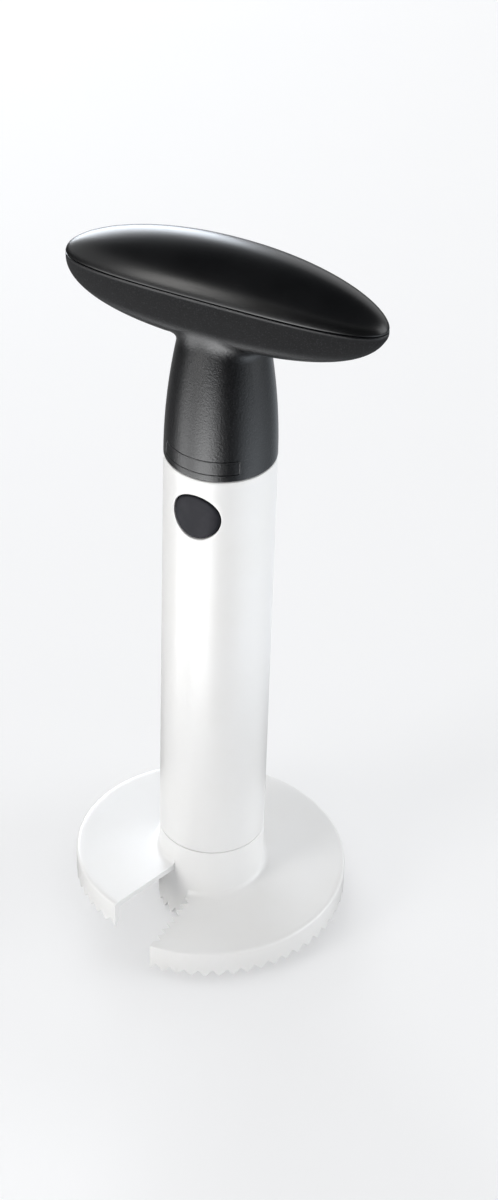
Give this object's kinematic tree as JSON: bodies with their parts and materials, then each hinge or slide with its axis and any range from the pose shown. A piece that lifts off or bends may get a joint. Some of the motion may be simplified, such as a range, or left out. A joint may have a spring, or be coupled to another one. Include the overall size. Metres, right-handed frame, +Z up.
{
  "type": "pineapple slicer",
  "caption": "T-grip pineapple corer and slicer: a latched handle on a long tube with a toothed one-turn spiral blade at its foot.",
  "frame": {"origin": "on the tube's axis, at the tips of the corer's teeth, which are the lowest points", "axes": "+Z up along the tube, X along the T-grip, -Y is the side of the front button, which the picture shows"},
  "size_m": [0.1014, 0.088, 0.2448],
  "materials": {
    "cover_gloss": "smooth black moulded plastic with a soft gloss",
    "grip_matte": "finely textured black moulded plastic",
    "button_matte": "satin dark grey moulded plastic",
    "white_plastic": "semi-gloss white moulded plastic",
    "screw_steel": "bright zinc-plated steel"
  },
  "bodies": {
    "shaft": {"shaft_tube": "white_plastic", "cutter_head": "white_plastic"},
    "handle": {"grip_cover": "cover_gloss", "grip_body": "grip_matte", "latch_plug": "grip_matte", "handle_screw_left": "screw_steel", "handle_screw_right": "screw_steel", "clip_bridge": "button_matte"},
    "front_button": {"button_arm_front": "button_matte"},
    "rear_button": {"button_arm_rear": "button_matte"}
  },
  "joints": [
    {"name": "handle_lift", "type": "slide", "parent": "shaft", "child": "handle", "axis": [0, 0, 1], "range_m": [0, 0.05], "deforming": ["button_arm_front", "button_arm_rear"]},
    {"name": "front_button_press", "type": "hinge", "parent": "handle", "child": "front_button", "pos_m": [0, -0.00929, 0.19235], "axis": [1, 0, 0], "range_deg": [0, 5.6], "stiffness_Nm_per_rad": 2},
    {"name": "rear_button_press", "type": "hinge", "parent": "handle", "child": "rear_button", "pos_m": [0, 0.00929, 0.19235], "axis": [-1, 0, 0], "range_deg": [0, 5.6], "stiffness_Nm_per_rad": 2}
  ]
}
